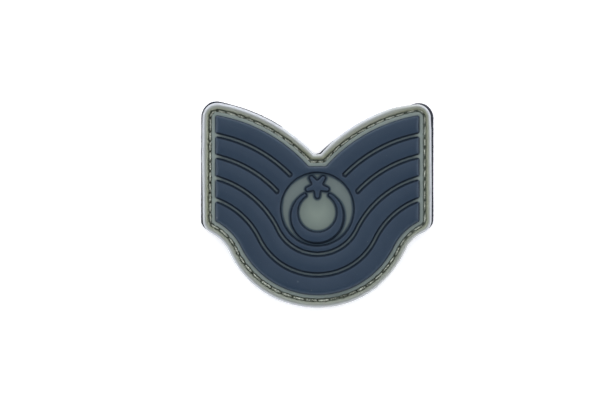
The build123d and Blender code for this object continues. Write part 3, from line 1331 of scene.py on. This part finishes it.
    def dulled(self, points: Array) -> Array:
        """Share of painted shade on the land: more from the upper left to the bottom, and in a few patches.
        """
        x, y = points[..., 0], points[..., 1]
        across = smooth(0.35 * x - y, -15.0, 40.0)
        patches = sum(share * np.exp(-((x - px) ** 2 + (y - py) ** 2) / radius**2)
                      for px, py, radius, share in self.patches)
        return 0.6 * across + patches

    def around(self, counts: Array, normals: Array) -> Around:
        """What lies at each point round the badge, from the points on each arc and the outward normals.
        Holes pucker the channel less in the notch, and it is rougher on the left."""
        line, _, along, length = self.seam.path()
        middle = self.badge.grown(self.badge.seam_outset).trace(counts)[0]
        shift = self.seam.shift.at(middle)
        middle = middle + shift[:, None] * normals
        place = along[nearest(middle, line)[1]]
        gap = np.abs((place[:, None] - self.seam.holes()[None] + length / 2) % length - length / 2).min(1)
        near_hole = np.exp(-((gap / self.pucker_length) ** 2))
        near_hole = near_hole * (1 - self.notch_spared * self.notch.at(middle) * (middle[:, 1] > 0))
        rough = self.least_rough + (1 - self.least_rough) * self.left_part.at(middle)
        return Around(middle, normals, shift, place, length, near_hole, rough)

    def moved(self, outsets: Array, at: Around) -> Array:
        """How far out each point of the section is moved: the channel's walls wobble and pull in at the
        holes, the outer one leans in under the wings, and the rim wanders, its outside most."""
        badge, outer_wall = self.badge, self.badge.outer_wall
        off_wall = np.minimum(np.abs(outsets - badge.land_width), np.abs(outsets - outer_wall))
        sway = self.wall_wobble * np.exp(-((off_wall / self.wobble_reach) ** 2))[:, None]
        sway = sway * (0.7 + at.rough)[None]
        sway = sway * (waves(at.place, at.length, self.wobble_pitch, 5)[None] * 0.8 - at.near_hole[None])
        side = np.sign(outsets - badge.seam_outset)[:, None]
        lean = self.wing_lean * np.exp(-(((outsets - outer_wall) / self.lean_reach) ** 2))[:, None]
        lean = lean * (self.facing_up.at(at.normals) * (1 + 0.6 * self.right_of_notch.at(at.middle)))[None]
        lean = lean * (1.35 * self.beside_notch.at(at.middle) - 0.35)[None]
        share = (self.wall_share * smooth(outsets, outer_wall - 0.1, outer_wall)
                 + (1 - self.wall_share) * smooth(outsets, outer_wall, badge.rim_outset))
        return sway * side - lean + share[:, None] * self.rim_wander.at(at.middle)

    def marks(self, rings: Array, z: Array, off_line: Array, at: Around) -> dict[str, Array]:
        """Marks that the finish reads.

        Args:
            rings: places of the section's points round the badge, before they are moved.
            z: their heights.
            off_line: their distance from the seam's line, in widths of a pucker.
            at: what lies round the badge.

        Returns:
            By name: painted shade in the channel, the rim, painted shade on the land and in the needle
                holes, the lower
            part, painted shade on the rim's inner flank and a painted highlight on its outer flank.
        """
        outsets, heights = self.profile()
        outer_wall, middle = self.badge.outer_wall, at.middle
        # painted shade in the channel below the land
        deep = smooth(self.levels.land - z, 0.1, 0.4) * smooth(np.abs(off_line), 2.4, 1.3)
        # painted shade in the needle holes
        hole = self.hole_shade * at.near_hole[None] ** 2 * np.exp(-((1.3 * off_line) ** 2))
        rim = smooth(outsets, outer_wall - 0.1, outer_wall)[:, None]
        # the painted highlight on the outer flank starts further in where light from the wings and the left
        # falls on it
        early = self.wing_light * self.facing_up.at(at.normals) * self.wings.at(middle)
        early = early * (1 - 0.7 * self.right_end.at(middle))
        early = early + self.side_light * self.facing_left.at(at.normals) * self.upper_part.at(middle)
        lit_from = outsets[:, None] + early
        slope_end = self.badge.rim_outset - 0.06 + 0.6 * early
        slope = smooth(lit_from, self.crest - self.slope_start, slope_end)
        slope = slope * smooth(heights, *self.slope_heights)[:, None]
        # painted shade on the land, which also dims the painted highlight
        dulled = self.dulled(rings)
        return {
            "deep": deep * (1 - 0.4 * self.right_part.at(middle))[None],
            "rim": rim,
            "dulled": dulled,
            "hole": hole * (0.38 + 0.34 * at.rough),
            "low": self.lower_part.at(rings),
            "inward": rim * smooth(lit_from, outer_wall + self.inward_end, outer_wall + self.inward_full),
            "slope": slope * (1 - 0.25 * dulled) * self.highlight_and_gloss.at(middle)[None],
        }

    def fill_land(self, shell: Shell, rim: Array, edge: Array) -> None:
        """Fills the flat inside the channel, shaded in the crevices at the foot of the navy walls.

        Args:
            shell: the piece so far.
            rim: indices of the section's last ring.
            edge: that ring's line, before it is moved.
        """
        floor, gaps, depth = self.open_floor(edge)
        sunk = smooth(depth, 0.0, 2.5)
        window = self.badge.window_radius
        _, _, hollow_y, hollow = self.relief.emblem.discs(window)
        in_window = np.hypot(*floor.T) < window
        in_hollow = np.hypot(floor[:, 0], floor[:, 1] - hollow_y) < hollow
        reach = np.where(in_window, np.interp(floor[:, 1], *self.window_reach), self.groove_reach)
        reach = np.where(in_hollow, self.hollow_reach, reach)
        # painted shade near the navy walls and in the crevices at their feet, and towards the bottom and
        # over the window's floor
        shell.cap([rim], floor, self.levels.land,
                  crevice=smooth(gaps / reach, 1.0, 0.1) * np.maximum(sunk, self.least_crevice),
                  dulled=np.where(in_window, 1.0 - in_hollow, self.dulled(floor)),
                  pale=in_hollow * 1.0,
                  hollow=smooth(gaps, 6.0, 0.3) * sunk)

    def build(self) -> bpy.types.Object:
        """Carries the cross-section round the badge, puckers it and fills the land and underside."""
        badge = self.badge
        outsets, heights = self.profile()
        outer = badge.grown(badge.rim_outset)
        counts = outer.counts(self.step, 10)
        rings = np.stack([badge.grown(outset).trace(counts)[0] for outset in outsets])
        at = self.around(counts, outer.trace(counts)[1])
        off_line = (outsets[:, None] - badge.seam_outset - at.shift[None]) / self.pucker_width
        near_line = np.exp(-(off_line**2))
        lumps = self.crumple * at.rough * waves(at.place, at.length, self.crumple_pitch, 8)
        z = heights[:, None] - self.pucker * near_line * at.near_hole[None] + lumps[None] * near_line
        flat = rings + self.moved(outsets, at)[..., None] * at.normals[None]
        shell = Shell()
        grid = shell.add(np.concatenate([flat, z[..., None]], axis=2), **self.marks(rings, z, off_line, at))
        shell.skin(grid)
        self.fill_land(shell, grid[-1], rings[-1])
        shell.cap([grid[0]], NO_POINTS, self.levels.base_bottom, flipped=True)
        return shell.piece("base_moulding", GreyGreenMoulding(), "base")


@dataclass(frozen=True)
class Stitching:
    """Stitches in the channel at the front and on the tape at the back."""

    badge: Badge
    levels: Levels
    seam: Seam
    channel_depth: float = 0.5
    half_width: float = 0.30
    half_height: float = 0.24
    dive: float = 0.34
    back_dive: float = 0.45
    plies: int = 3
    twists: float = 4.2
    ply_depth: float = 0.26
    sinking: float = 0.2
    bar_width: float = 0.25
    fattest: float = 1.25
    bow: float = 0.06
    slant: float = 0.07
    # spread of random darkening from stitch to stitch, added to the thread's painted shade
    shade_and_grime: float = 0.15
    right_part: Fade = Fade(Axis.X, 22.0, 32.0)
    above_bottom: Fade = Fade(Axis.Y, -27.0, -20.0)
    bottom: Fade = Fade(Axis.Y, -20.0, -27.0)
    sunk_from: Fade = Fade(Axis.X, 3.0, 5.0)
    sunk_until: Fade = Fade(Axis.X, 13.0, 10.0)
    sunk_below: Fade = Fade(Axis.Y, -10.0, -20.0)
    # how much darker the thread is round the badge, added to its painted shade
    shade_and_soil: Wander = Wander((
        (5, -0.15), (32, -0.3), (42, -0.45), (52, -0.35), (63, -0.1), (80, 0.15), (89, 0.0), (98, 0.3),
        (115, 0.1), (136, 0.0), (187, -0.08), (193, -0.35), (204, -0.05), (251, 0.0), (268, 0.3),
        (280, -0.1), (294, 0.3), (312, 0.1), (343, 0.0), (349, -0.3)))

    def plied(self, width: Array, thick: Array, twist: Array, around: int) -> tuple[Array, Array]:
        """Section of the thread, an ellipse with a lobe for each ply.

        Args:
            width: half its width along each stitch.
            thick: half its height.
            twist: how far the plies have turned.
            around: points round it.

        Returns:
            How far each point lies sideways and upwards.
        """
        turn = TURN * np.arange(around) / around
        lobes = 1 - self.ply_depth * (0.5 - 0.5 * np.cos(self.plies * (turn - twist[..., None])))
        return width[..., None] * lobes * np.cos(turn), thick[..., None] * lobes * np.sin(turn)

    def tubes(self, seed: int, steps: int, around: int, heights: Callable[[Array, Array], Array],
              spread: float) -> tuple[Array, Array]:
        """One thread from each needle hole to the next.

        Args:
            seed: varies the stitches.
            steps: points along each.
            around: points round each.
            heights: height of the thread's middle as a function of the share of the way and of how much
                like a lens each stitch is.
            spread: how much the width varies.

        Returns:
            Vertices as stitches by steps by points round by x, y and z, and how far each has dived, which
            with the soiling sets its painted shade.
        """
        draw = np.random.default_rng(seed)
        holes = self.seam.holes()
        gaps = (np.roll(holes, -1) - holes) % self.seam.path()[3]
        share = np.linspace(0, 1, steps)
        count = len(holes)
        middle, normal = self.seam.at(holes[:, None] + gaps[:, None] * share)
        centre = middle[:, steps // 2]
        fat = np.clip(draw.normal(1, spread, count), 2 - self.fattest, self.fattest)[:, None]
        bow = draw.normal(0, self.bow, count)[:, None] * np.sin(math.pi * share)
        slant = draw.normal(0, self.slant, count)[:, None] * np.cos(math.pi * share)
        lens = np.clip(self.right_part.at(centre) + draw.uniform(0, 0.5, count), 0, 1)
        lens = (lens * self.above_bottom.at(centre))[:, None]
        sunk = (self.sunk_from.at(centre) * self.sunk_until.at(centre) * self.sunk_below.at(centre))[:, None]
        shade_and_grime = (draw.normal(0, self.shade_and_grime, count) + self.shade_and_soil.at(centre))[:, None]
        full = np.sin(math.pi * share) ** (0.5 + 0.8 * lens)
        bar = 1 + self.bar_width * self.bottom.at(centre)[:, None]
        width = self.half_width * fat * bar * (0.35 + 0.65 * full) * (1 - 0.15 * lens)
        thick = self.half_height * fat * (0.55 + 0.45 * full)
        twist = self.twists * TURN / self.plies * share[None] + draw.uniform(0, TURN, count)[:, None]
        sideways, upward = self.plied(width, thick, twist, around)
        middle = middle + (bow + slant)[..., None] * normal
        flat = middle[:, :, None] + sideways[..., None] * normal[:, :, None]
        z = (heights(share, lens) - self.sinking * sunk)[..., None] + upward
        # painted shade where the thread dives into a hole or lies sunk in the channel, with random darkening
        # per stitch
        dived = smooth(np.abs(2 * share - 1), 0.8 - 0.4 * lens, 0.98 - 0.2 * lens) + 0.8 * sunk
        dived = np.broadcast_to((np.minimum(dived, 1) + shade_and_grime)[..., None], z.shape)
        return np.concatenate([flat, z[..., None]], axis=3), dived

    def sew(self, name: str, tubes: Array, dived: Array) -> bpy.types.Object:
        """Skins the threads, closes their ends and makes the piece."""
        shell = Shell()
        grid = shell.add(tubes, dive=dived)[..., ::-1]
        shell.skin(grid)
        shell.fans(grid[:, 0], flipped=True)
        shell.fans(grid[:, -1])
        return shell.piece(name, SewingThread(), None)

    def front(self) -> bpy.types.Object:
        """Stitches in the channel: each dives into a needle hole at both ends and rides on the channel's
        floor between, its middle at floor - dive + (dive + half height) (1 - |2s - 1|^p), with p from 5 for
        a bar to 2 for a lens."""
        floor = self.levels.land - self.channel_depth

        def heights(share: Array, lens: Array) -> Array:
            """Height of the thread's middle at a share of the way."""
            rise = 1 - np.abs(2 * share - 1) ** (5 - 3 * lens)
            return floor - self.dive + (self.dive + self.half_height) * rise

        return self.sew("top_stitches", *self.tubes(21, 25, 15, heights, 0.10))

    def back(self) -> bpy.types.Object:
        """Stitches on the back of the tape, flatter, which rise into it at both ends."""

        def heights(share: Array, _: Array) -> Array:
            """Height of the thread's middle at a share of the way, the same for every stitch."""
            return self.levels.tape_bottom - self.half_height + self.back_dive * np.abs(2 * share - 1) ** 4

        return self.sew("bobbin_stitches", *self.tubes(22, 17, 9, heights, 0.06))


@dataclass(frozen=True)
class HookTape:
    """Woven tape with its rows of hooks. It was cut and sewn on by eye, so it peeps out further on one side
    than on the other, and in places not at all."""

    badge: Badge
    levels: Levels
    seam: Seam
    reveal: Wander = Wander((
        (0, 0.58), (12, 0.50), (38, 0.60), (44, 0.35), (51, -0.5), (71, -0.5), (75, 0.30), (87, 0.45),
        (97, -0.3), (112, -0.2), (114, 0.28), (130, 0.38), (135, 0.72), (142, 0.55), (187, 0.62),
        (192, -0.2), (331, -0.2), (338, -0.6), (347, -0.5), (353, 0.50)))
    step: float = 0.3
    ragged: float = 0.03
    edge_round: float = 0.12
    inner_pitch: float = 1.5
    inner_gap: float = 0.6
    hook_margin: float = 0.4
    hook_pitch: tuple[float, float] = (1.2, 0.9)
    hook_strays: float = 0.06
    hook_spin: float = 0.25
    hook_wire: float = 0.11
    hook_tip: float = 0.75
    hook_curl: float = 0.30
    hook_turn: float = 1.15 * math.pi
    bare_seam: float = 0.8

    def outline(self, inset: float, step: float) -> tuple[Array, Array]:
        """Edge of the tape, moved in by an inset: points about a step apart and their outward normals."""
        points, normals = self.badge.grown(self.badge.rim_outset).sampled(step, 12)
        return points + (self.reveal.at(points) - inset)[:, None] * normals, normals

    def tape(self) -> bpy.types.Object:
        """Slab with round edges whose cut outline wanders a little, as scissors and fraying leave it."""
        low, high, r = self.levels.tape_bottom, self.levels.tape_top, self.edge_round
        turn = np.linspace(-math.pi / 2, math.pi / 2, 9)
        insets = r - r * np.cos(turn)
        heights = np.where(turn < 0, low + r, high - r) + r * np.sin(turn)
        points, normals = self.outline(0.0, self.step)
        along, length = distances_along(points)
        ragged = self.ragged * (waves(along, length, 1.1, 31) * 0.6 + waves(along, length, 5.0, 32) * 0.4)
        rings = np.stack([self.outline(inset, self.step)[0] for inset in insets])
        fraying = smooth(insets, r, 0.0)[:, None] * (ragged - self.ragged)[None]
        rings = rings + fraying[..., None] * normals[None]
        z = np.broadcast_to(heights[:, None, None], rings.shape[:2] + (1,))
        shell = Shell()
        grid = shell.add(np.concatenate([rings, z], axis=2))
        shell.skin(grid)
        for row, height, flipped in ((0, low, True), (-1, high, False)):
            line = rings[row]
            inner = scattered(line.min(0), line.max(0), self.inner_pitch, 7)
            inner = inner[inside(inner, [line])]
            inner = inner[nearest(inner, line)[0] > self.inner_gap]
            shell.cap([grid[row]], inner, height, flipped=flipped)
        made = shell.piece("hook_tape", WovenTape(), "backing")
        width, height = rings[-1].max(0) - rings[-1].min(0) + 2 * r
        width * MM
        height * MM
        return made

    def hook_spots(self, draw: np.random.Generator) -> tuple[Array, Array]:
        """Places of the hooks, and 1 or -1 as each faces +X or -X: rows that face opposite ways, left out
        along the seam and at the bare edge."""
        line = self.outline(self.hook_margin, 0.5)[0]
        low, high = line.min(0), line.max(0)
        x = np.arange(low[0], high[0], self.hook_pitch[0])
        y = np.arange(low[1], high[1], self.hook_pitch[1])
        column, row = (index.ravel() for index in np.meshgrid(np.arange(len(x)), np.arange(len(y))))
        spots = np.column_stack([x[column], y[row]]) + draw.normal(0, self.hook_strays, (column.size, 2))
        kept = inside(spots, [line]) & (nearest(spots, self.seam.path()[0][::8])[0] > self.bare_seam)
        kept &= nearest(spots, line)[0] > self.hook_curl + self.hook_wire
        return spots[kept], np.where(column % 2, 1.0, -1.0)[kept]

    def hook(self) -> tuple[Array, Array, Array]:
        """One hook about its own place, as x, y and z by rings and corners: a four-sided wire that runs down
        from the tape, curls round a half circle and points back up, thinner towards its tip."""
        wire, curl = self.hook_wire, self.hook_curl
        turn = np.linspace(0, self.hook_turn, 6)
        drop = self.levels.hooks_bottom + curl + wire
        run = np.concatenate([[-curl], -curl * np.cos(turn)])
        rise = np.concatenate([[self.levels.tape_bottom], drop - curl * np.sin(turn)])
        lean = np.concatenate([[0.0], turn])[:, None]
        thin = (wire * np.linspace(1.0, self.hook_tip, len(run)))[:, None]
        angle = TURN * (np.arange(4) + 0.5) / 4
        side, out = np.cos(angle), np.sin(angle)
        x = run[:, None] + thin * side * np.cos(lean)
        z = rise[:, None] + thin * side * np.sin(lean)
        return x, thin * out * np.ones_like(x), z

    def hooks(self) -> bpy.types.Object:
        """Field of little hooks, each turned a little at random."""
        draw = np.random.default_rng(41)
        spots, facing = self.hook_spots(draw)
        local_x, local_y, local_z = self.hook()
        spin = draw.normal(0, self.hook_spin, len(spots))[:, None, None]
        flip = facing[:, None, None]
        x = spots[:, 0, None, None] + flip * (local_x * np.cos(spin) - local_y * np.sin(spin))
        y = spots[:, 1, None, None] + flip * (local_x * np.sin(spin) + local_y * np.cos(spin))
        shell = Shell()
        grid = shell.add(np.stack([x, y, np.broadcast_to(local_z, x.shape)], axis=-1))
        shell.skin(grid[:, ::-1])
        shell.fans(grid[:, -1], flipped=True)
        shell.fans(grid[:, 0])
        return shell.piece("hook_bed", HookNylon(), "hook_field")


@dataclass(frozen=True)
class Lamp:
    """Long narrow studio light, aimed at the patch. Its sizes are in metres."""

    name: str
    azimuth: float
    elevation: float
    power: float
    colour: Colour
    distance: float = 1.3
    width: float = 0.25
    length: float = 0.75

    def build(self) -> None:
        """Places the light: azimuth 0 is towards +Y and 90 towards +X, elevation is above the floor."""
        data = bpy.data.lights.new(self.name, "AREA")
        data.shape, data.size, data.size_y = "RECTANGLE", self.width, self.length
        data.energy, data.color = self.power, self.colour
        made = placed(self.name, data)
        turn, rise = math.radians(self.azimuth), math.radians(self.elevation)
        away = Vector((math.sin(turn) * math.cos(rise), math.cos(turn) * math.cos(rise), math.sin(rise)))
        made.location = away * self.distance
        made.rotation_euler = (-away).to_track_quat("-Z", "Y").to_euler()


@dataclass(frozen=True)
class Studio:
    """Floor, lights and the camera, which looks straight down."""

    picture_width: int = 612
    pixel: float = 0.32227
    centre_x: float = -3.66
    centre_y: float = 1.77
    focus_height: float = 4.4
    camera_height: float = 1200.0
    camera_reach: float = 10.0
    floor_size: float = 4000.0
    floor_height: float = -0.03
    tent: Colour = (0.97, 0.985, 1.0)
    walls: float = 6.8
    fading: float = 3.0
    overhead: float = 0.30
    walls_lean: tuple[float, float] = (0.09, 0.05)
    overhead_lean: tuple[float, float] = (-0.7, 2.7)
    lamps: tuple[Lamp, ...] = (
        Lamp("right_strip", 90, 62, 1.0, (0.95, 0.93, 1.0)),
        Lamp("left_strip", -90, 58, 0.6, (0.95, 0.95, 1.0)),
    )

    def floor(self) -> None:
        """Large pale table top."""
        ends = np.array([[-1, -1], [1, -1], [1, 1], [-1, 1]]) * self.floor_size / 2
        mesh = bpy.data.meshes.new("floor")
        points = np.column_stack([ends, np.full(4, self.floor_height)]) * MM
        mesh.from_pydata(points, [], [(0, 1, 2, 3)])
        mesh.materials.append(PaleFloor().material())
        placed("floor", mesh)

    def camera(self) -> None:
        """Long lens straight above, framed as the photograph is."""
        data = bpy.data.cameras.new("camera")
        data.lens = data.sensor_width * self.camera_height / (self.picture_width * self.pixel)
        data.clip_end = self.camera_reach
        made = placed("camera", data)
        made.location = Vector((self.centre_x, self.centre_y, self.focus_height + self.camera_height)) * MM
        bpy.context.scene.camera = made

    def light_tent(self) -> bpy.types.World:
        """White tent all round, open and dark overhead where the camera is, with more light from +Y.

        Returns:
            A world whose strength is walls (1 - z)^fading (1 + lean . d) + overhead (1 + lean . d), no part
            of it below 0, with d the direction looked in, z its height and each part's own lean across the
            floor.
        """
        world = bpy.data.worlds.new("light_tent")
        world.use_nodes = True
        tree = world.node_tree
        way = node(tree, "ShaderNodeTexCoord", {}, {}, "Generated")
        z = node(tree, "ShaderNodeSeparateXYZ", {}, {0: way}, 2)
        sides, above = (
            node(tree, "ShaderNodeVectorMath", {"operation": "DOT_PRODUCT"},
                 {0: way, 1: (*lean, 0.0)}, 1) + 1
            for lean in (self.walls_lean, self.overhead_lean))
        walls = (1 - z) ** self.fading * sides * self.walls
        strength = walls + above.math("MAXIMUM", 0.0) * self.overhead
        background = tree.nodes["Background"]
        background.inputs["Color"].default_value = (*self.tent, 1.0)
        tree.links.new(strength.socket, background.inputs["Strength"])
        return world

    def build(self) -> None:
        """Sets up the stage."""
        scene = bpy.context.scene
        scene.view_settings.view_transform = "Standard"
        scene.world = self.light_tent()
        self.floor()
        self.camera()
        for lamp in self.lamps:
            lamp.build()


def corners(box: tuple[Vector, Vector]) -> list[list[float]]:
    """Lowest and highest corner of a box as plain lists."""
    return [list(corner) for corner in box]


def main() -> None:
    """Builds the patch on its frame, layer by layer, and sets up the studio."""
    logging.basicConfig(level=logging.INFO, format="%(name)s: %(message)s")
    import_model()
    levels = Levels.from_frame()
    badge = Badge()
    seam = Seam(badge)
    tape = HookTape(badge, levels, seam)
    tape.hooks()
    tape.tape()
    relief = NavyRelief(badge, Emblem(), levels)
    BaseMoulding(badge, levels, seam, relief).build()
    relief.build_all()
    stitching = Stitching(badge, levels, seam)
    stitching.front()
    stitching.back()
    Studio().build()


if __name__ == "__main__":
    main()
